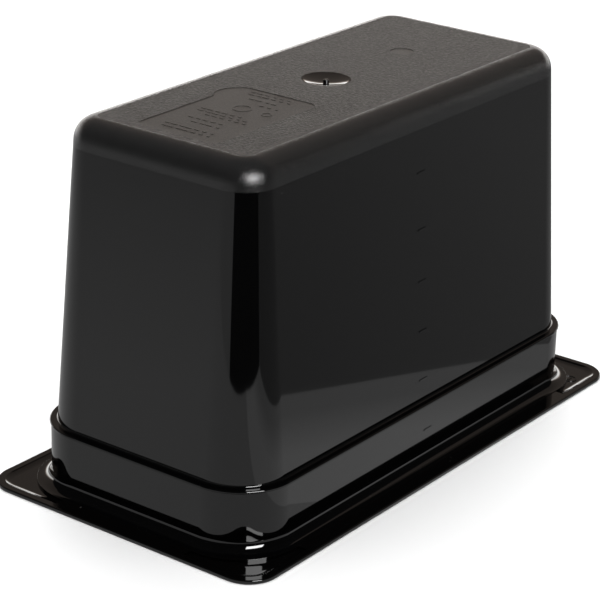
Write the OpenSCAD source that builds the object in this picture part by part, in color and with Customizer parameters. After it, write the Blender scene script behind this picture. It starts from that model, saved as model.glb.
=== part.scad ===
// Deep third-size food pan, moulded in one shot and standing mouth down on its rim.
// Frame: origin at the centre of the rim plane, +Z up to the closed base, +X along the long side.
// Every zone of the moulding is a closed solid that meets its neighbours face to face.

/* [Overall] */
// Length over the rim
rim_l = 324; // [300:1:360]
// Width over the rim
rim_w = 172; // [168:1:220]
// Height from the rim plane to the base
pan_h = 191.8; // [150:0.1:220]
// Wall thickness
wall_t = 2.8; // [2:0.1:4]

/* [Rim] */
// Corner radius of the rim's outer edge
rim_corner_r = 16; // [14:0.5:20]
// Height of the rim border
rim_t = 2.2; // [2:0.1:3]
// Width of the rim border, with its slope down into the pockets
border_w = 8.2; // [7:0.1:8.3]
// Radius of that slope
border_slope_r = 9; // [6:0.5:9.5]
// Floor height of the four corner pockets
pocket_floor = 1.1; // [0.8:0.1:1.4]
// Inset of the step where the neck's foot starts
foot_inset = 8.8; // [8:0.1:9.2]
// Corner hub of that step, measured in from the rim's outer edge
foot_hub = 42.5; // [40:0.5:44]
// Height of the neck's foot
foot_t = 2.5; // [2.4:0.1:4]

/* [Neck] */
// Inset of the neck band from the rim's outer edge
neck_inset = 15.1; // [14.5:0.1:16]
// Fillet between the foot and the neck band
neck_fillet = 5.8; // [2:0.1:5.9]
// How far the stacking lip stands proud of the neck band
lip_proud = 0.7; // [0.4:0.1:1]
// Height of the stacking ledge above the rim plane
ledge_z = 34.7; // [32:0.1:45]

/* [Body] */
// Inset of the body wall at the ledge
body_inset = 18.4; // [18:0.1:20]
// Draft angle of the body wall
draft = 3.7; // [2:0.1:3.8]
// Corner radius hub, measured in from the rim's outer edge
hub = 45.2; // [44.2:0.1:50]
// Outer radius of the rounded base edge
base_r = 11.8; // [8:0.1:12]

/* [Base details] */
// Diameter of the gate dish in the middle of the base
dish_d = 25; // [18:0.5:30]
// Depth of the gate dish
dish_depth = 1.5; // [1:0.1:2]
// Diameter of the smooth ejector disk
disk_d = 12.5; // [8:0.5:16]
// Distance of the ejector disk from the centre
disk_x = 66.5; // [50:0.5:90]
// Length of the smooth marking panel
panel_l = 80; // [60:1:82]
// Width of the smooth marking panel
panel_w = 49; // [40:1:52]

/* [Graduations] */
// Length of a graduation dash
grad_l = 6.5; // [4:0.5:10]
// Height of a graduation dash
grad_h = 0.9; // [0.6:0.1:1.5]

/* [Hidden] */
$fn = 64;
black = [0.07, 0.07, 0.07];
black_smooth = [0.16, 0.15, 0.14];
black_grained = [0.24, 0.23, 0.22];

edge_r = 0.7;                                   // rounding of the rim's outer edges
step_r = 0.25;                                  // rounding of the foot's step
mouth_r = 2.2;                                  // rounding inside the mouth
neck_in = neck_inset + wall_t;                  // inner face of the neck
neck_top = 28;                                  // neck band ends, shoulder starts
lip_h = 1.6;
lip_in = neck_inset + 1.6;                      // inner face of the lip bead
lip_out = neck_inset - lip_proud;
ledge_in = ledge_z - wall_t;                    // inner face of the ledge
ledge_r = 1;                                    // fillet between ledge and body wall
shoulder_r = 2;                                 // roundings inside the shoulder
wall_start = 38;                                // shoulder ends, body wall starts
slope = tan(draft);
wall_skew = wall_t / cos(draft);                // wall thickness measured level
base_hub_z = pan_h - base_r;                    // centre height of the base edge's arc
edge_start = base_hub_z - 2;                    // body wall ends, base edge starts
tangent_z = base_hub_z + base_r * sin(draft);
base_inset = outer(tangent_z) + base_r * cos(draft);
base_in = pan_h - wall_t;
panel_x = -78;
panel_lobe = [-50.5, 16.2];                     // centre of the round lobe at one corner of the panel
panel_lobe_r = 12;
panel_r = 6;
recess = 0.8;                                   // depth of the recesses for smooth patches
patch_t = 0.65;                                 // thickness of the smooth patches
base_mark_t = 0.12;                             // height of the marks on the panel
nub_d = 3;
nub_h = 1.1;
mark_t = 0.3;                                   // height of raised marks
grad_z = [20, 46.5, 72.8, 99.3, 126.5, 156];     // equal volumes, so the steps widen upwards
ring_w = 0.7;                                   // width of the ring marks
mark_r = 4;
mark_x = 139;
mark_y = -73;

// inset of the body's outer face at height z
function outer(z) = body_inset + (z - ledge_z) * slope;
// points on an arc of the profile, from angle a0 to a1
function arc(c, r, a0, a1, n = 6) =
    [for (i = [0:n]) c + r * [cos(a0 + (a1 - a0) * i / n), sin(a0 + (a1 - a0) * i / n)]];

// slope of the border, from its top down to the pocket floor
function border_slope() = let (turn = acos(1 - (rim_t - pocket_floor) / border_slope_r))
    arc([border_w, pocket_floor + border_slope_r], border_slope_r, 270 - turn, 270, 8);

// closed ring with the same profile all round: points are [inset from the rim's edge, height]
module ring(profile, corner = hub) {
    section = [for (p = profile) [corner - p[0], p[1]]];
    cx = rim_l / 2 - corner;
    cy = rim_w / 2 - corner;
    corners = [[cx, cy], [-cx, cy], [-cx, -cy], [cx, -cy]];
    for (i = [0:3])
        translate(corners[i]) rotate(90 * i) rotate_extrude(angle = 90) polygon(section);
    for (turn = [0, 180]) rotate(turn) {
        translate([cx, 0, 0]) rotate([90, 0, 0])
            linear_extrude(2 * cy, center = true) polygon(section);
        translate([0, cy, 0]) rotate([90, 0, 90])
            linear_extrude(2 * cx, center = true) polygon(section);
    }
}

// rounded rectangle, set in from the rim's outer edge
module outline(inset, corner = hub) {
    l = rim_l - 2 * inset;
    w = rim_w - 2 * inset;
    r = corner - inset;
    square([l - 2 * r, w], center = true);
    square([l, w - 2 * r], center = true);
    for (x = [-1, 1], y = [-1, 1]) translate([x * (l / 2 - r), y * (w / 2 - r)]) circle(r);
}

// outline of the smooth marking panel
module panel_outline() {
    translate([panel_x, 0]) {
        square([panel_l - 2 * panel_r, panel_w], center = true);
        square([panel_l, panel_w - 2 * panel_r], center = true);
        for (x = [-1, 1], y = [-1, 1])
            translate([x * (panel_l / 2 - panel_r), y * (panel_w / 2 - panel_r)]) circle(panel_r);
    }
    translate(panel_lobe) circle(panel_lobe_r);
}

module ring_mark(r, h) {
    linear_extrude(h) difference() {
        circle(r);
        circle(r - ring_w);
    }
}

module rim_border() {
    color(black) ring(concat(
        arc([edge_r, edge_r], edge_r, 270, 180, 4),
        arc([edge_r, rim_t - edge_r], edge_r, 180, 90, 4),
        border_slope(), [[border_w, 0]]), rim_corner_r);
}

// closes the gap between border and foot: flush strips along the sides, sunk floors in the corners
module rim_web() {
    color(black_smooth) {
        linear_extrude(pocket_floor) difference() {
            outline(border_w, rim_corner_r);
            outline(foot_inset, foot_hub);
        }
        difference() {
            ring(concat(border_slope(), [[foot_inset, pocket_floor], [foot_inset, rim_t]]), rim_corner_r);
            for (x = [-1, 1], y = [-1, 1])
                translate([x * (rim_l - hub) / 2, y * (rim_w - hub) / 2, 0])
                    cube([hub, hub, 3 * rim_t], center = true);
        }
    }
}

// the step's outer edge turns its corners tighter than the neck does
module foot_ring() {
    step_in = foot_inset + 2 * step_r;
    mouth_start = neck_in - mouth_r;
    color(black) {
        ring(concat(
            [[foot_inset, 0]],
            arc([foot_inset + step_r, foot_t - step_r], step_r, 180, 90, 4),
            [[step_in, foot_t], [step_in, 0]]), foot_hub);
        linear_extrude(foot_t) difference() {
            outline(step_in, foot_hub);
            outline(mouth_start);
        }
        ring(concat(
            [[mouth_start, foot_t], [neck_in, foot_t]],
            arc([mouth_start, mouth_r], mouth_r, 0, -90)));
    }
}

module neck_band() {
    color(black) ring(concat(
        arc([neck_inset - neck_fillet, foot_t + neck_fillet], neck_fillet, -90, 0),
        [[neck_inset, neck_top], [neck_in, neck_top], [neck_in, foot_t]]));
}

module stacking_lip() {
    lip_r = lip_h / 2;
    color(black) ring(concat(
        [[lip_in, ledge_z - lip_h], [lip_out + lip_r, ledge_z - lip_h]],
        arc([lip_out + lip_r, ledge_z - lip_r], lip_r, 270, 90, 8),
        [[lip_in, ledge_z]]));
}

module shoulder_ring() {
    fillet_z = ledge_z + ledge_r;
    fillet_in = outer(fillet_z) - ledge_r / cos(draft);
    inner_r_z = ledge_in + shoulder_r;
    inner_r_in = outer(inner_r_z) + wall_skew - shoulder_r / cos(draft);
    color(black) ring(concat(
        [[neck_inset, neck_top], [neck_inset, ledge_z - lip_h],
         [lip_in, ledge_z - lip_h], [lip_in, ledge_z]],
        arc([fillet_in, fillet_z], ledge_r, -90, -draft, 5),
        [[outer(wall_start), wall_start], [outer(wall_start) + wall_skew, wall_start]],
        arc([inner_r_in, inner_r_z], shoulder_r, -draft, -90, 5),
        arc([neck_in + shoulder_r, ledge_in - shoulder_r], shoulder_r, 90, 180, 5),
        [[neck_in, neck_top]]));
}

module body_wall() {
    color(black) ring([
        [outer(wall_start), wall_start], [outer(edge_start), edge_start],
        [outer(edge_start) + wall_skew, edge_start], [outer(wall_start) + wall_skew, wall_start]]);
}

module base_edge() {
    c = [base_inset, base_hub_z];
    color(black_grained) ring(concat(
        [[outer(edge_start) + wall_skew, edge_start], [outer(edge_start), edge_start]],
        arc(c, base_r, 180 - draft, 90, 10),
        arc(c, base_r - wall_t, 90, 180 - draft, 8)));
}

module base_panel() {
    color(black_grained) difference() {
        translate([0, 0, base_in]) linear_extrude(wall_t) outline(base_inset);
        cylinder(d = dish_d, h = 2 * pan_h);
        translate([disk_x, 0, pan_h - recess]) cylinder(d = disk_d, h = wall_t);
        translate([0, 0, pan_h - recess]) linear_extrude(wall_t) panel_outline();
    }
}

// shallow glossy dish around the gate, cut by a large sphere
module gate_dish() {
    rim = dish_d / 2 - 0.6;
    ball_r = (rim * rim + dish_depth * dish_depth) / (2 * dish_depth);
    color(black_smooth) difference() {
        translate([0, 0, base_in]) cylinder(d = dish_d, h = wall_t);
        translate([0, 0, pan_h - dish_depth + ball_r]) sphere(ball_r, $fn = 160);
    }
}

module gate_nub() {
    color(black_smooth) translate([0, 0, pan_h - dish_depth]) difference() {
        cylinder(d = nub_d, h = nub_h);
        translate([0, 0, nub_h - 0.25]) cylinder(d = nub_d / 3, h = nub_h);
    }
}

module ejector_disk() {
    color(black_smooth) translate([disk_x, 0, pan_h - recess]) cylinder(d = disk_d, h = patch_t);
}

module marking_panel() {
    color(black_smooth) translate([0, 0, pan_h - recess]) linear_extrude(patch_t) panel_outline();
}

// rows of short plain dashes and two plain rings, with no lettering
module marking_bars() {
    // one row each: place along the panel, start and end across it
    rows = [[-42.5, -10, 12], [-46, -12, 11], [-52, -8, 8], [-58, -14, -2], [-78.5, -8, 16],
            [-82, -14, 16], [-85.5, -16, 10], [-93, -8, 11], [-98, -10, 5], [-107, -14, 15],
            [-111, -15, 12]];
    step = 4.4;
    color(black_smooth) translate([0, 0, pan_h - recess + patch_t]) {
        for (i = [0:len(rows) - 1]) let (row = rows[i])
            for (y = [row[1]:step:row[2]])
                translate([row[0], y, 0]) cube([1.1, 2.4 + (i + floor(y)) % 3 * 0.5, base_mark_t]);
        translate([-66.4, 0.9, 0]) ring_mark(4.9, base_mark_t);
        translate([-66.5, -14, 0]) ring_mark(2.8, base_mark_t);
    }
}

module cavity_mark() {
    color(black_smooth) translate([mark_x, mark_y, pocket_floor]) {
        ring_mark(mark_r, mark_t);
        translate([0, 0, mark_t / 2]) cube([4, 1, mark_t], center = true);
    }
}

module graduation_marks() {
    color(black) for (z = grad_z) {
        on_neck = z < ledge_z;
        y = rim_w / 2 - (on_neck ? neck_inset : outer(z));
        translate([0, -y, z]) rotate([on_neck ? 0 : -draft, 0, 0])
            translate([0, -mark_t / 2, 0]) cube([grad_l, mark_t, grad_h], center = true);
    }
}

rim_border();
rim_web();
foot_ring();
neck_band();
stacking_lip();
shoulder_ring();
body_wall();
base_edge();
base_panel();
gate_dish();
gate_nub();
ejector_disk();
marking_panel();
marking_bars();
cavity_mark();
graduation_marks();
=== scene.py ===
"""Deep third-size food pan in glossy black plastic, standing mouth down: its looks and its studio.

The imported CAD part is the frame. Each zone of the moulding is remade as a finer closed piece on the
same faces: its section is traced at one corner, spun round the corner and drawn out along the sides.
"""

from math import acos, cos, degrees, pi, radians, sin, sqrt, tan

import bpy
from mathutils import Matrix, Vector


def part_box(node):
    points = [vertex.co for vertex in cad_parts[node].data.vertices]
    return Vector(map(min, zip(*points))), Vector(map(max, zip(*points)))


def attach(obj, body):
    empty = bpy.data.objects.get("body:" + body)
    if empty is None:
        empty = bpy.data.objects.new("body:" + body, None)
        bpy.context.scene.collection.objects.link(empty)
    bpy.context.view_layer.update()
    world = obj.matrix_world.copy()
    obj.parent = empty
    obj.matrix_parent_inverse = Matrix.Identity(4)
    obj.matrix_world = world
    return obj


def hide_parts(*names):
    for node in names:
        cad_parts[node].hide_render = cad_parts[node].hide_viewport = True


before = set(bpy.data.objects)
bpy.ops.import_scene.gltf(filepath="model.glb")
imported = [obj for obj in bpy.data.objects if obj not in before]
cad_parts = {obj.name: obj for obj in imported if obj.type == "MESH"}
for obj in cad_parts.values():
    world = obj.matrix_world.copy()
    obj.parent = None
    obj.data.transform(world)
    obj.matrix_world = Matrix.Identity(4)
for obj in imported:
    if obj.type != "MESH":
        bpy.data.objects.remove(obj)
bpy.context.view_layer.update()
MM = 0.001

# --- sizes of the pan, in metres, from the frame ---------------------------------------------


def span(node, axis):
    """Length of a CAD node along one axis."""
    low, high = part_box(node)
    return high[axis] - low[axis]


def top(node):
    """Height of a CAD node's upper end."""
    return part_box(node)[1].z


RIM_L, RIM_W = span("rim_border", 0), span("rim_border", 1)
PAN_H = top("base_panel")
RIM_T = top("rim_border")
FOOT_T = top("foot_ring")
LEDGE_Z = top("stacking_lip")
LIP_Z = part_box("stacking_lip")[0].z
NECK_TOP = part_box("shoulder_ring")[0].z
WALL_START, EDGE_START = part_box("body_wall")[0].z, top("body_wall")
FOOT_INSET = (RIM_L - span("foot_ring", 0)) / 2
NECK_INSET = (RIM_L - span("shoulder_ring", 0)) / 2
FILLET_INSET = (RIM_L - span("neck_band", 0)) / 2
LIP_INSET = (RIM_L - span("stacking_lip", 0)) / 2
BORDER_TOP = (RIM_L - span("rim_web", 0)) / 2        # where the border's slope starts
WALL_INSET = (RIM_L - span("body_wall", 0)) / 2      # at WALL_START
BASE_INSET = (RIM_L - span("base_panel", 0)) / 2     # where the flat of the base starts
BASE_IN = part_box("base_panel")[0].z
WALL_T = PAN_H - BASE_IN

HUB = 45.2 * MM                 # corner centre of neck and body, in from the rim's edge
FOOT_HUB = 42.5 * MM            # corner centre of the foot's step
RIM_HUB = 16 * MM               # corner centre of the border
DRAFT_DEG = 3.7
DRAFT = radians(DRAFT_DEG)
NECK_IN = NECK_INSET + WALL_T
LEDGE_IN = LEDGE_Z - WALL_T
LIP_ROOT = NECK_INSET + 1.6 * MM        # how far in the bead under the ledge reaches
PANEL_R, LOBE_R, LOBE_IN = 6 * MM, 12 * MM, 12.5 * MM      # marking panel: corners, lobe, lobe's centre
RING_W = 0.7 * MM               # width of a raised ring mark
POCKET_FLOOR = 1.1 * MM
SLOPE_R = 9 * MM                # slope of the border down into the pockets
SLOPE_TURN = acos(1 - (RIM_T - POCKET_FLOOR) / SLOPE_R)
BORDER_W = BORDER_TOP + SLOPE_R * sin(SLOPE_TURN)
CORNER_STEPS = 40
CLOSE = 1e-6


def outer(z):
    """Inset of the body wall's outer face at height z."""
    return WALL_INSET + (z - WALL_START) * tan(DRAFT)


def arc(centre, radius, start, end, steps=12):
    """Points of a round stretch of a section, angles in degrees."""
    turns = [radians(start + (end - start) * i / steps) for i in range(steps + 1)]
    return [(centre[0] + radius * cos(a), centre[1] + radius * sin(a)) for a in turns]


def border_slope():
    """Section of the slope from the border's top down to the pocket floor."""
    return arc((BORDER_W, POCKET_FLOOR + SLOPE_R), SLOPE_R, 270 - degrees(SLOPE_TURN), 270, 16)


# --- modelling steps ---------------------------------------------------------------------------


def begin(name, add, **settings):
    """Adds a primitive as a new piece and opens it for editing, with all of it selected."""
    bpy.ops.object.select_all(action="DESELECT")
    add(**settings)
    piece = bpy.context.object
    piece.name = piece.data.name = name
    bpy.ops.object.mode_set(mode="EDIT")
    bpy.ops.mesh.select_mode(type="VERT")
    bpy.ops.mesh.select_all(action="SELECT")
    return piece


def trace(name, points):
    """Draws a line of vertices through the points."""
    piece = begin(name, bpy.ops.mesh.primitive_plane_add, size=MM, location=points[0])
    bpy.ops.mesh.merge(type="CENTER")
    for here, there in zip(points, points[1:]):
        step = Vector(there) - Vector(here)
        bpy.ops.mesh.extrude_vertices_move(TRANSFORM_OT_translate={"value": step})
    return piece


def tidy_shell():
    """Joins the seams of the open piece, turns its faces outwards and leaves edit mode."""
    bpy.ops.mesh.select_all(action="SELECT")
    bpy.ops.mesh.remove_doubles(threshold=CLOSE)
    bpy.ops.mesh.normals_make_consistent(inside=False)
    bpy.ops.object.mode_set(mode="OBJECT")


def sweep(name, section, hub=HUB):
    """Runs a section of [inset, height] points once round the pan: spun at corners, straight on sides."""
    x, y = RIM_L / 2 - hub, RIM_W / 2 - hub
    piece = trace(name, [(x + hub - inset, y, z) for inset, z in section])
    bpy.ops.mesh.select_all(action="SELECT")
    for corner, along in (((x, y), (-2 * x, 0)), ((-x, y), (0, -2 * y)),
                          ((-x, -y), (2 * x, 0)), ((x, -y), (0, 2 * y))):
        bpy.ops.mesh.spin(steps=CORNER_STEPS, angle=-pi / 2, center=(*corner, 0), axis=(0, 0, 1))
        bpy.ops.mesh.extrude_region_move(TRANSFORM_OT_translate={"value": (*along, 0)})
    tidy_shell()
    return piece


def ring(name, section, hub=HUB):
    """Closed ring: the section returns to its first point."""
    return sweep(name, section + section[:1], hub)


def inset_of(point, hub):
    """How far a point lies in from the rim's edge, round corners with that hub."""
    x, y = abs(point.x) - (RIM_L / 2 - hub), abs(point.y) - (RIM_W / 2 - hub)
    return hub - (sqrt(x * x + y * y) if x > 0 and y > 0 else max(x, y))


def round_edge(piece, inset, hub, height, radius, steps):
    """Rounds the edge that runs once round the piece at that inset and height."""
    bpy.context.view_layer.objects.active = piece
    bpy.ops.object.mode_set(mode="EDIT")
    bpy.ops.mesh.select_mode(type="EDGE")
    bpy.ops.mesh.select_all(action="DESELECT")
    bpy.ops.object.mode_set(mode="OBJECT")
    on_line = [abs(v.co.z - height) < CLOSE and abs(inset_of(v.co, hub) - inset) < 10 * CLOSE
               for v in piece.data.vertices]
    for edge in piece.data.edges:
        edge.select = all(on_line[v] for v in edge.vertices)
    bpy.ops.object.mode_set(mode="EDIT")
    bpy.ops.mesh.bevel(offset=radius, segments=steps)
    bpy.ops.object.mode_set(mode="OBJECT")


def join(piece, others):
    bpy.ops.object.select_all(action="DESELECT")
    for part in [piece, *others]:
        part.select_set(True)
    bpy.context.view_layer.objects.active = piece
    bpy.ops.object.join()


def plate(name, size, radius, low, high, centre=(0, 0)):
    """Rounded rectangle plate between two heights."""
    piece = begin(name, bpy.ops.mesh.primitive_plane_add, size=1, location=(*centre, low))
    bpy.ops.transform.resize(value=(size[0], size[1], 1))
    bpy.ops.mesh.bevel(affect="VERTICES", offset=radius, offset_type="OFFSET", segments=CORNER_STEPS)
    bpy.ops.mesh.extrude_region_move(TRANSFORM_OT_translate={"value": (0, 0, high - low)})
    tidy_shell()
    settle(piece)
    return piece


def rounded_plate(name, inset, hub, low, high):
    """Plate set in from the rim's edge, with its corners round that hub."""
    size = (RIM_L - 2 * inset, RIM_W - 2 * inset)
    return plate(name, size, hub - inset, low, high)


def block(name, size, centre, bevel=0.0):
    """Box with softened edges."""
    piece = begin(name, bpy.ops.mesh.primitive_cube_add, size=1, location=centre)
    bpy.ops.transform.resize(value=size)
    if bevel:
        bpy.ops.mesh.bevel(offset=bevel, segments=3)
    tidy_shell()
    settle(piece)
    return piece


def lathe(name, section, centre, steps=96):
    """Turned piece: the section of [radius, height] points spun once round an upright axis."""
    piece = trace(name, [(centre[0] + r, centre[1], z) for r, z in section])
    bpy.ops.mesh.select_all(action="SELECT")
    bpy.ops.mesh.spin(steps=steps, angle=2 * pi, center=(*centre, 0), axis=(0, 0, 1))
    tidy_shell()
    settle(piece)
    return piece


def cut(piece, tools, operation="DIFFERENCE"):
    """Takes the tools' shapes out of the piece, or with UNION adds them to it."""
    for tool in tools:
        change = piece.modifiers.new("cut", "BOOLEAN")
        change.operation, change.solver, change.object = operation, "EXACT", tool
        bpy.context.view_layer.objects.active = piece
        bpy.ops.object.modifier_apply(modifier=change.name)
        bpy.data.objects.remove(tool)


def settle(piece):
    """Puts the piece's place into its mesh, so that its object sits at the origin."""
    bpy.ops.object.select_all(action="DESELECT")
    piece.select_set(True)
    bpy.context.view_layer.objects.active = piece
    bpy.ops.object.transform_apply(location=True, rotation=True, scale=True)


def finish_piece(piece, material, nodes, smooth=30):
    """Shades the piece, gives it its finish and puts it in place of the CAD nodes."""
    settle(piece)
    bpy.ops.object.shade_smooth_by_angle(angle=radians(smooth))
    even = piece.modifiers.new("even shading", "WEIGHTED_NORMAL")
    even.keep_sharp = True
    bpy.ops.object.modifier_apply(modifier=even.name)
    piece.data.materials.clear()
    piece.data.materials.append(material)
    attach(piece, "root")
    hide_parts(*nodes)


# --- finishes ------------------------------------------------------------------------------------


def group(name, inputs, outputs):
    """Empty shader group with its sockets; returns the group, its input node and its output node."""
    made = bpy.data.node_groups.new(name, "ShaderNodeTree")
    for label, kind, value in inputs:
        socket = made.interface.new_socket(name=label, in_out="INPUT", socket_type=kind)
        if value is not None:
            socket.default_value = value
    for label, kind in outputs:
        made.interface.new_socket(name=label, in_out="OUTPUT", socket_type=kind)
    return made, made.nodes.new("NodeGroupInput"), made.nodes.new("NodeGroupOutput")


def add_node(tree, kind, links=(), **settings):
    """Adds a node, sets its values and feeds its inputs: links are (input name or index, output socket)."""
    node = tree.nodes.new(kind)
    for name, value in settings.items():
        if name in node.inputs:
            node.inputs[name].default_value = value
        else:
            setattr(node, name, value)
    for target, source in links:
        tree.links.new(source, node.inputs[target])
    return node


def noise(tree, where, scale, detail=2.0):
    node = add_node(tree, "ShaderNodeTexNoise", [("Vector", where)], Scale=scale, Detail=detail)
    return node.outputs["Fac"]


def remap(tree, value, low, high, to_low=0.0, to_high=1.0):
    node = tree.nodes.new("ShaderNodeMapRange")
    tree.links.new(value, node.inputs["Value"])
    for label, number in (("From Min", low), ("From Max", high), ("To Min", to_low), ("To Max", to_high)):
        node.inputs[label].default_value = number
    return node.outputs["Result"]


def math_node(tree, operation, first, second):
    node = tree.nodes.new("ShaderNodeMath")
    node.operation = operation
    for slot_number, value in enumerate((first, second)):
        if isinstance(value, (int, float)):
            node.inputs[slot_number].default_value = value
        else:
            tree.links.new(value, node.inputs[slot_number])
    return node.outputs[0]


def make_flow_waves():
    """Soft unevenness that the melt leaves on a polished wall, as a height."""
    tree, given, out = group(
        "flow_waves",
        [("Place", "NodeSocketVector", None), ("Wave", "NodeSocketFloat", 14.0),
         ("Ripple", "NodeSocketFloat", 120.0)],
        [("Height", "NodeSocketFloat")])
    long_wave = add_node(tree, "ShaderNodeTexNoise", [("Vector", given.outputs["Place"]),
                                                      ("Scale", given.outputs["Wave"])], Detail=1.0)
    ripple = add_node(tree, "ShaderNodeTexNoise", [("Vector", given.outputs["Place"]),
                                                   ("Scale", given.outputs["Ripple"])], Detail=1.0)
    small = math_node(tree, "MULTIPLY", ripple.outputs["Fac"], 0.06)
    total = math_node(tree, "ADD", long_wave.outputs["Fac"], small)
    tree.links.new(total, out.inputs["Height"])
    return tree


def make_handling():
    """Faint scuffs and specks of dust: a mask from 0, clean, to 1."""
    tree, given, out = group(
        "handling",
        [("Place", "NodeSocketVector", None), ("Amount", "NodeSocketFloat", 0.3)],
        [("Scuff", "NodeSocketFloat"), ("Dust", "NodeSocketFloat")])
    drawn = add_node(tree, "ShaderNodeMapping", [("Vector", given.outputs["Place"])])
    drawn.inputs["Rotation"].default_value = (0.4, 0.9, 0.3)
    drawn.inputs["Scale"].default_value = (40, 900, 60)
    lines = noise(tree, drawn.outputs["Vector"], 1.0, 3.0)
    cloud = noise(tree, given.outputs["Place"], 22.0, 3.0)
    lines = remap(tree, lines, 0.66, 0.8)
    cloud = remap(tree, cloud, 0.5, 0.75)
    scuff = math_node(tree, "MULTIPLY", math_node(tree, "MULTIPLY", lines, cloud), given.outputs["Amount"])
    specks = add_node(tree, "ShaderNodeTexVoronoi", [("Vector", given.outputs["Place"])], Scale=160.0)
    near = remap(tree, specks.outputs["Distance"], 0.09, 0.03)
    sparse = remap(tree, noise(tree, given.outputs["Place"], 45.0, 1.0), 0.62, 0.7)
    dust = math_node(tree, "MULTIPLY", math_node(tree, "MULTIPLY", near, sparse), given.outputs["Amount"])
    tree.links.new(scuff, out.inputs["Scuff"])
    tree.links.new(dust, out.inputs["Dust"])
    return tree


def make_spark_grain():
    """Spark-eroded grain: a height, and the tone of its tips."""
    tree, given, out = group(
        "spark_grain",
        [("Place", "NodeSocketVector", None), ("Cells", "NodeSocketFloat", 900.0)],
        [("Height", "NodeSocketFloat"), ("Tips", "NodeSocketFloat")])
    cells = add_node(tree, "ShaderNodeTexNoise", [("Vector", given.outputs["Place"]),
                                                  ("Scale", given.outputs["Cells"])], Detail=3.0)
    cells.inputs["Roughness"].default_value = 0.6
    height = remap(tree, cells.outputs["Fac"], 0.3, 0.7)
    tips = remap(tree, cells.outputs["Fac"], 0.42, 0.66)
    tree.links.new(height, out.inputs["Height"])
    tree.links.new(tips, out.inputs["Tips"])
    return tree


FLOW_WAVES = make_flow_waves()
HANDLING = make_handling()
SPARK_GRAIN = make_spark_grain()


def start_material(name):
    """New material with its shader and the piece's own coordinates."""
    material = bpy.data.materials.new(name)
    material.use_nodes = True
    tree = material.node_tree
    shader = tree.nodes["Principled BSDF"]
    place = tree.nodes.new("ShaderNodeTexCoord").outputs["Object"]
    return material, tree, shader, place


def use_group(tree, made, place, **values):
    node = tree.nodes.new("ShaderNodeGroup")
    node.node_tree = made
    tree.links.new(place, node.inputs["Place"])
    for label, value in values.items():
        node.inputs[label].default_value = value
    return node


def mix_colour(tree, mask, first, second):
    node = tree.nodes.new("ShaderNodeMix")
    node.data_type = "RGBA"
    tree.links.new(mask, node.inputs["Factor"])
    node.inputs["A"].default_value = (*first, 1)
    node.inputs["B"].default_value = (*second, 1)
    return node.outputs["Result"]


def polished(name, colour, gloss, wave=4e-5, handling=0.3):
    """Polished black moulding: mirror gloss, slow flow waves, a few scuffs and specks."""
    material, tree, shader, place = start_material(name)
    shader.inputs["IOR"].default_value = 1.585
    marks = use_group(tree, HANDLING, place, Amount=handling)
    shade = mix_colour(tree, marks.outputs["Dust"], colour, (0.11, 0.105, 0.1))
    tree.links.new(shade, shader.inputs["Base Color"])
    rough = math_node(tree, "MULTIPLY", marks.outputs["Scuff"], 0.25)
    rough = math_node(tree, "ADD", rough, remap(tree, noise(tree, place, 9.0), 0.3, 0.7, gloss, gloss * 1.5))
    tree.links.new(rough, shader.inputs["Roughness"])
    waves = use_group(tree, FLOW_WAVES, place)
    bump = add_node(tree, "ShaderNodeBump", [("Height", waves.outputs["Height"])], Distance=wave)
    tree.links.new(bump.outputs["Normal"], shader.inputs["Normal"])
    return material


def grained(name, colour, tip_colour, rough, depth, cells=900.0):
    """Grained black moulding, as the spark-eroded mould leaves it."""
    material, tree, shader, place = start_material(name)
    shader.inputs["IOR"].default_value = 1.585
    grain = use_group(tree, SPARK_GRAIN, place, Cells=cells)
    cloud = remap(tree, noise(tree, place, 60.0, 4.0), 0.3, 0.7, 0.75, 1.0)
    tips = math_node(tree, "MULTIPLY", grain.outputs["Tips"], cloud)
    tree.links.new(mix_colour(tree, tips, colour, tip_colour), shader.inputs["Base Color"])
    tree.links.new(remap(tree, grain.outputs["Height"], 0, 1, rough * 1.15, rough * 0.85),
                   shader.inputs["Roughness"])
    bump = add_node(tree, "ShaderNodeBump", [("Height", grain.outputs["Height"])], Distance=depth)
    tree.links.new(bump.outputs["Normal"], shader.inputs["Normal"])
    return material


WALL_BLACK = polished("wall_black", (0.0008, 0.0008, 0.0009), 0.04)
RIM_BLACK = polished("rim_black", (0.001, 0.0009, 0.0009), 0.05, handling=0.5)
DISH_BLACK = polished("dish_black", (0.003, 0.0025, 0.0025), 0.03, wave=1e-5, handling=0.1)
BASE_GRAIN = grained("base_grain", (0.006, 0.0055, 0.005), (0.026, 0.0235, 0.02), 0.44, 2.2e-4, 700.0)
EDGE_GRAIN = grained("edge_grain", (0.011, 0.011, 0.011), (0.014, 0.014, 0.0138), 0.17, 1e-4, 1100.0)
PATCH_SATIN = grained("patch_satin", (0.014, 0.0128, 0.0115), (0.02, 0.018, 0.016), 0.38, 2.5e-5, 1400.0)

# --- the moulding's zones, from the rim up -------------------------------------------------------


def make_rim_border():
    edge = 0.7 * MM
    section = arc((edge, edge), edge, 270, 180, 8) + arc((edge, RIM_T - edge), edge, 180, 90, 8)
    section += border_slope() + [(BORDER_W, 0)]
    piece = ring("pan_rim_border", section, RIM_HUB)
    finish_piece(piece, RIM_BLACK, ["rim_border"], smooth=25)


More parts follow.
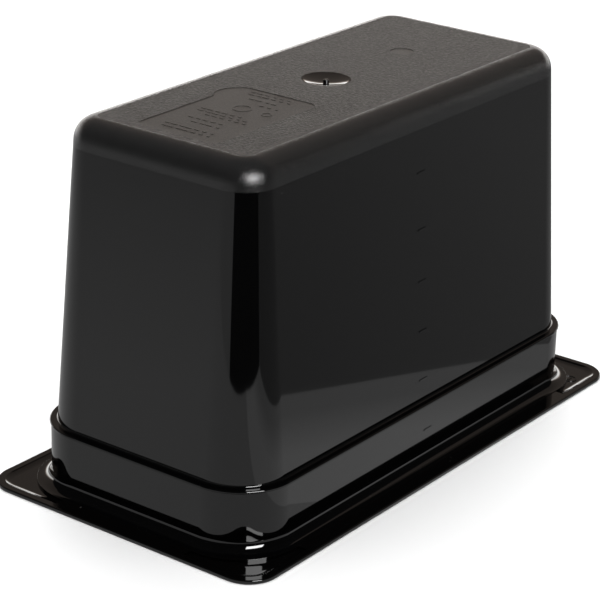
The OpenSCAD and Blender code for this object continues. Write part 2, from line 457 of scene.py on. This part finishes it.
def make_rim_web():
    """Strips that close the gap between border and foot, sunk at the corners into four pockets."""
    piece = rounded_plate("pan_rim_web", BORDER_TOP - MM, RIM_HUB, 0, RIM_T)
    depth, above = RIM_T - POCKET_FLOOR, RIM_T + MM
    around = [(-MM, -MM), (-MM, above), (BORDER_TOP, above)] + border_slope() + [(BORDER_W, -MM)]
    cutters = [rounded_plate("foot", FOOT_INSET, FOOT_HUB, -MM, above), ring("border", around, RIM_HUB)]
    cutters += [
        block("pocket", (HUB, HUB, 2 * depth), (x * (RIM_L - HUB) / 2, y * (RIM_W - HUB) / 2, RIM_T))
        for x in (-1, 1) for y in (-1, 1)]
    cut(piece, cutters)
    finish_piece(piece, RIM_BLACK, ["rim_web"])


def make_foot_ring():
    piece = rounded_plate("pan_foot_ring", FOOT_INSET, FOOT_HUB, 0, FOOT_T)
    cut(piece, [rounded_plate("mouth", NECK_IN, HUB, -MM, FOOT_T + MM)])
    round_edge(piece, FOOT_INSET, FOOT_HUB, FOOT_T, 0.12 * MM, 6)
    round_edge(piece, NECK_IN, HUB, 0, 2.2 * MM, 12)
    finish_piece(piece, RIM_BLACK, ["foot_ring"])


def make_neck_band():
    radius = NECK_INSET - FILLET_INSET
    section = arc((FILLET_INSET, FOOT_T + radius), radius, -90, 0, 16)
    section += [(NECK_INSET, NECK_TOP), (NECK_IN, NECK_TOP), (NECK_IN, FOOT_T)]
    finish_piece(ring("pan_neck_band", section), WALL_BLACK, ["neck_band"])


def make_stacking_lip():
    bead = (LEDGE_Z - LIP_Z) / 2
    section = [(LIP_ROOT, LIP_Z)] + arc((LIP_INSET + bead, LEDGE_Z - bead), bead, 270, 90, 16)
    section += [(LIP_ROOT, LEDGE_Z)]
    finish_piece(ring("pan_stacking_lip", section), WALL_BLACK, ["stacking_lip"])


def make_shoulder_ring():
    fillet, inner_r = 1.0 * MM, 2 * MM
    skew = WALL_T / cos(DRAFT)
    fillet_z, inner_z = LEDGE_Z + fillet, LEDGE_IN + inner_r
    section = [(NECK_INSET, NECK_TOP), (NECK_INSET, LIP_Z), (LIP_ROOT, LIP_Z), (LIP_ROOT, LEDGE_Z)]
    section += arc((outer(fillet_z) - fillet / cos(DRAFT), fillet_z), fillet, -90, -DRAFT_DEG, 10)
    section += [(outer(WALL_START), WALL_START), (outer(WALL_START) + skew, WALL_START)]
    section += arc((outer(inner_z) + skew - inner_r / cos(DRAFT), inner_z), inner_r, -DRAFT_DEG, -90, 8)
    section += arc((NECK_IN + inner_r, LEDGE_IN - inner_r), inner_r, 90, 180, 8)
    section += [(NECK_IN, NECK_TOP)]
    finish_piece(ring("pan_shoulder_ring", section), WALL_BLACK, ["shoulder_ring"])


def make_body_wall():
    skew = WALL_T / cos(DRAFT)
    section = [(outer(WALL_START), WALL_START), (outer(EDGE_START), EDGE_START),
               (outer(EDGE_START) + skew, EDGE_START), (outer(WALL_START) + skew, WALL_START)]
    finish_piece(ring("pan_body_wall", section), WALL_BLACK, ["body_wall"])


def make_base_edge():
    skew = WALL_T / cos(DRAFT)
    radius = PAN_H - EDGE_START - 2 * MM
    centre = (BASE_INSET, PAN_H - radius)
    section = [(outer(EDGE_START) + skew, EDGE_START), (outer(EDGE_START), EDGE_START)]
    section += arc(centre, radius, 180 - DRAFT_DEG, 90, 24)
    section += arc(centre, radius - WALL_T, 90, 180 - DRAFT_DEG, 16)
    finish_piece(ring("pan_base_edge", section), EDGE_GRAIN, ["base_edge"])


def panel_shape(name, low, high):
    """Rounded panel with a round lobe at one corner, as wide on the other side of the middle line."""
    near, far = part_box("marking_panel")
    size = (far.x - near.x, -2 * near.y)
    piece = plate(name, size, PANEL_R, low, high, ((near.x + far.x) / 2, 0))
    lobe = [(0, low), (LOBE_R, low), (LOBE_R, high), (0, high)]
    cut(piece, [lathe("lobe", lobe, (far.x - LOBE_IN, far.y - LOBE_R))], "UNION")
    return piece


def make_base_panel():
    """Flat of the base, opened for the gate dish and sunk for the two smooth patches."""
    size = (span("base_panel", 0), span("base_panel", 1))
    piece = plate("pan_base_panel", size, HUB - BASE_INSET, BASE_IN, PAN_H)
    above = PAN_H + MM
    dish_r = span("gate_dish", 0) / 2
    low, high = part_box("ejector_disk")
    disk_r = (high.x - low.x) / 2
    hole = lathe("hole", [(0, BASE_IN - MM), (dish_r, BASE_IN - MM), (dish_r, above), (0, above)], (0, 0))
    disk = lathe("disk", [(0, low.z), (disk_r, low.z), (disk_r, above), (0, above)],
                 ((low.x + high.x) / 2, 0))
    cut(piece, [hole, disk, panel_shape("panel", low.z, above)])
    finish_piece(piece, BASE_GRAIN, ["base_panel"])


def make_gate_dish():
    radius = span("gate_dish", 0) / 2
    lip = radius - 0.6 * MM
    depth = 1.5 * MM
    ball = (lip * lip + depth * depth) / (2 * depth)
    bowl = [(ball * sin(a), PAN_H - depth + ball * (1 - cos(a)))
            for a in (2 * depth / lip * (1 - i / 20) for i in range(1, 21))]
    section = [(0, BASE_IN), (radius, BASE_IN), (radius, PAN_H), (lip, PAN_H)] + bowl
    finish_piece(lathe("pan_gate_dish", section, (0, 0)), DISH_BLACK, ["gate_dish"])


def make_gate_nub():
    low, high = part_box("gate_nub")
    radius, pip, soft = (high.x - low.x) / 2, (high.x - low.x) / 6, 0.2 * MM
    section = [(0, low.z), (radius, low.z)] + arc((radius - soft, high.z - soft), soft, 0, 90, 5)
    section += [(pip, high.z), (pip * 0.8, high.z - 0.25 * MM), (0, high.z - 0.25 * MM)]
    finish_piece(lathe("pan_gate_nub", section, (0, 0), 48), DISH_BLACK, ["gate_nub"])


def make_ejector_disk():
    low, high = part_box("ejector_disk")
    radius, soft = (high.x - low.x) / 2, 0.12 * MM
    section = [(0, low.z), (radius, low.z)] + arc((radius - soft, high.z - soft), soft, 0, 90, 4)
    section += [(0, high.z)]
    piece = lathe("pan_ejector_disk", section, ((low.x + high.x) / 2, 0))
    finish_piece(piece, PATCH_SATIN, ["ejector_disk"])


def make_marking_panel():
    piece = panel_shape("pan_marking_panel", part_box("marking_panel")[0].z, top("marking_panel"))
    finish_piece(piece, PATCH_SATIN, ["marking_panel"])


def solids(node):
    """Boxes of the separate solids of a CAD node, lowest and highest corner each."""
    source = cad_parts[node]
    bpy.ops.object.select_all(action="DESELECT")
    source.hide_viewport = False
    source.select_set(True)
    bpy.context.view_layer.objects.active = source
    bpy.ops.object.duplicate()
    copy = bpy.context.object
    bpy.ops.object.mode_set(mode="EDIT")
    bpy.ops.mesh.select_all(action="SELECT")
    bpy.ops.mesh.remove_doubles(threshold=CLOSE)
    bpy.ops.mesh.separate(type="LOOSE")
    bpy.ops.object.mode_set(mode="OBJECT")
    parts = [o for o in bpy.context.selected_objects if o is not source]
    boxes = []
    for part in parts:
        points = [v.co for v in part.data.vertices]
        boxes.append((Vector([min(p[i] for p in points) for i in range(3)]),
                      Vector([max(p[i] for p in points) for i in range(3)])))
        bpy.data.objects.remove(part)
    return boxes


def washer(name, centre, outside, inside, low, high):
    """Flat ring."""
    section = [(inside, low), (outside, low), (outside, high), (inside, high), (inside, low)]
    return lathe(name, section, centre, 48)


def make_raised_marks(name, node, material):
    """Plain raised bars and rings, one for each solid of the CAD node."""
    parts = []
    for low, high in solids(node):
        centre, size = (low + high) / 2, high - low
        if abs(size.x - size.y) < 0.05 * MM:
            parts.append(washer("mark", (centre.x, centre.y), size.x / 2, size.x / 2 - RING_W,
                                low.z, high.z))
        else:
            parts.append(block("mark", size, centre, 0.04 * MM))
    join(parts[0], parts[1:])
    parts[0].name = parts[0].data.name = name
    finish_piece(parts[0], material, [node])


make_rim_border()
make_rim_web()
make_foot_ring()
make_neck_band()
make_stacking_lip()
make_shoulder_ring()
make_body_wall()
make_base_edge()
make_base_panel()
make_gate_dish()
make_gate_nub()
make_ejector_disk()
make_marking_panel()
make_raised_marks("pan_marking_bars", "marking_bars", PATCH_SATIN)
make_raised_marks("pan_cavity_mark", "cavity_mark", RIM_BLACK)
make_raised_marks("pan_graduation_marks", "graduation_marks", WALL_BLACK)

# --- studio ------------------------------------------------------------------------------------

VIEW_YAW, VIEW_PITCH, VIEW_ROLL = radians(36.67), radians(22.11), radians(1.51)
CAMERA_PLACE = Vector((-0.9049, -0.6611, 0.5271))
LENS = 139.45
AHEAD = Vector((cos(VIEW_YAW), sin(VIEW_YAW), 0))      # level direction away from the camera
RIGHT = Vector((sin(VIEW_YAW), -cos(VIEW_YAW), 0))


def make_camera():
    data = bpy.data.cameras.new("camera")
    data.sensor_width = 36
    data.lens = LENS
    data.clip_end = 50
    camera = bpy.data.objects.new("camera", data)
    bpy.context.collection.objects.link(camera)
    forward = AHEAD * cos(VIEW_PITCH) - Vector((0, 0, sin(VIEW_PITCH)))
    up = RIGHT.cross(forward)
    side = RIGHT * cos(VIEW_ROLL) + up * sin(VIEW_ROLL)
    up = up * cos(VIEW_ROLL) - RIGHT * sin(VIEW_ROLL)
    turn = Matrix((side, up, -forward)).transposed()
    camera.matrix_world = Matrix.Translation(CAMERA_PLACE) @ turn.to_4x4()
    bpy.context.scene.camera = camera


def glow(name, strength, tint=(1, 1, 1), fade=None):
    """Emission for a card. fade is (axis, near, far, far strength): the glow changes along that axis."""
    material = bpy.data.materials.new(name)
    material.use_nodes = True
    tree = material.node_tree
    tree.nodes.clear()
    lamp = add_node(tree, "ShaderNodeEmission", Color=(*tint, 1), Strength=strength)
    end = tree.nodes.new("ShaderNodeOutputMaterial")
    tree.links.new(lamp.outputs[0], end.inputs["Surface"])
    if fade:
        axis, near, far, far_strength = fade
        spot = tree.nodes.new("ShaderNodeTexCoord").outputs["Object"]
        away = add_node(tree, "ShaderNodeSeparateXYZ", [("Vector", spot)]).outputs[axis]
        tree.links.new(remap(tree, away, near, far, strength, far_strength), lamp.inputs["Strength"])
    return material


def card(name, corners, material):
    """Flat card through the corners, each [ahead of the pan, right of it, height] as the camera sees it."""
    piece = trace(name, [(ahead, -right, height) for ahead, right, height in corners])
    bpy.ops.mesh.select_all(action="SELECT")
    bpy.ops.mesh.edge_face_add()
    bpy.ops.object.mode_set(mode="OBJECT")
    settle(piece)
    piece.rotation_euler.z = VIEW_YAW
    piece.data.materials.append(material)
    return piece


def only_mirrored(piece):
    """The card is seen in reflections only."""
    piece.visible_camera = piece.visible_diffuse = piece.visible_shadow = False
    piece.visible_transmission = piece.visible_volume_scatter = False


def floor_material():
    material, tree, shader, place = start_material("pale_floor")
    tree.links.new(mix_colour(tree, noise(tree, place, 3.0), (0.86, 0.86, 0.86), (0.88, 0.88, 0.88)),
                   shader.inputs["Base Color"])
    shader.inputs["Roughness"].default_value = 0.9
    shader.inputs["Specular IOR Level"].default_value = 0.1
    return material


def add_light(name, place, size, power):
    data = bpy.data.lights.new(name, "AREA")
    data.shape = "RECTANGLE"
    data.size, data.size_y = size
    data.energy = power
    lamp = bpy.data.objects.new(name, data)
    lamp.location = place
    lamp.rotation_euler = (Vector(place) * -1).to_track_quat("-Z", "Y").to_euler()
    lamp.visible_glossy = False
    bpy.context.collection.objects.link(lamp)


def make_studio():
    wide = 30                                   # half width of the floor
    floor = card("floor", [(-wide, -wide, 0), (wide, -wide, 0), (wide, wide, 0), (-wide, wide, 0)],
                 floor_material())
    floor.visible_glossy = False
    # What the glossy walls mirror: a pale table that ends in front and on the right, the dim room
    # beyond it, a bright strip low behind, and one softbox. The gap in front keeps the corner dark.
    front, right = -0.409, 0.191                # the table's two ends
    turn, back = 0.03, 0.3                      # where the table's glow changes
    down, far = -0.0005, 5                      # the level cards lie just under the floor, this far out
    behind, side = 2.5, 4                       # place and half width of the upright cards behind
    corner_left, corner_right = (front, -0.1645), (-0.3656, right)       # where the dark gap starts
    gap_left, gap_right = (-far, -2.469), (-far, 4.722)                  # its edges, straight out from there

    def level(*corners):
        """Corners of a card that lies flat, each [ahead, right]."""
        return [(*corner, down) for corner in corners]

    def upright(ahead, left_end, right_end, low, high):
        return [(ahead, left_end, low), (ahead, right_end, low), (ahead, right_end, high),
                (ahead, left_end, high)]

    cards = [
        card("table", level((front, -far), (front, turn), (back, turn), (back, -far)),
             glow("table_glow", 0.44, fade=("Y", 0.3, 0.8, 0.34))),
        card("table_beside", level((front, turn), corner_right, (back, right), (back, turn)),
             glow("beside_glow", 0.4, fade=("Y", -0.16, -0.1, 0.62))),
        card("table_behind", level((back, -far), (back, right), (far, right), (far, -far)),
             glow("behind_glow", 0.44, fade=("X", 0.35, 1.4, 1.4))),
        card("room_right", level(corner_right, gap_right, (-far, far), (far, far), (far, right)),
             glow("right_glow", 0.14, fade=("X", -0.15, 0.25, 0.22))),
        card("room_left", level(corner_left, (front, -far), (-far, -far), gap_left),
             glow("left_glow", 0.36)),
        card("strip_behind", upright(behind, -side, side, -0.1, 0.5),
             glow("strip_glow", 2.8, (1, 0.98, 0.96))),
        card("wall_behind", upright(behind, -side, side, 0.5, 3.5),
             glow("wall_glow", 1.2, (1, 0.84, 0.73), fade=("Z", 0.5, 0.8, 0.19))),
        card("softbox", upright(-1.1, 0.245, 0.995, 0.45, 1.05), glow("softbox_glow", 20)),
    ]
    for piece in cards:
        only_mirrored(piece)
    add_light("top_light", (0, 0, 2.4), (3.5, 3.5), 130)
    add_light("back_fill", (1.6, 1.2, 1.6), (2, 2), 26)
    world = bpy.data.worlds.new("world")
    world.use_nodes = True
    world.node_tree.nodes["Background"].inputs["Color"].default_value = (0.02, 0.02, 0.02, 1)
    bpy.context.scene.world = world
    bpy.context.scene.view_settings.view_transform = "Standard"


make_camera()
make_studio()
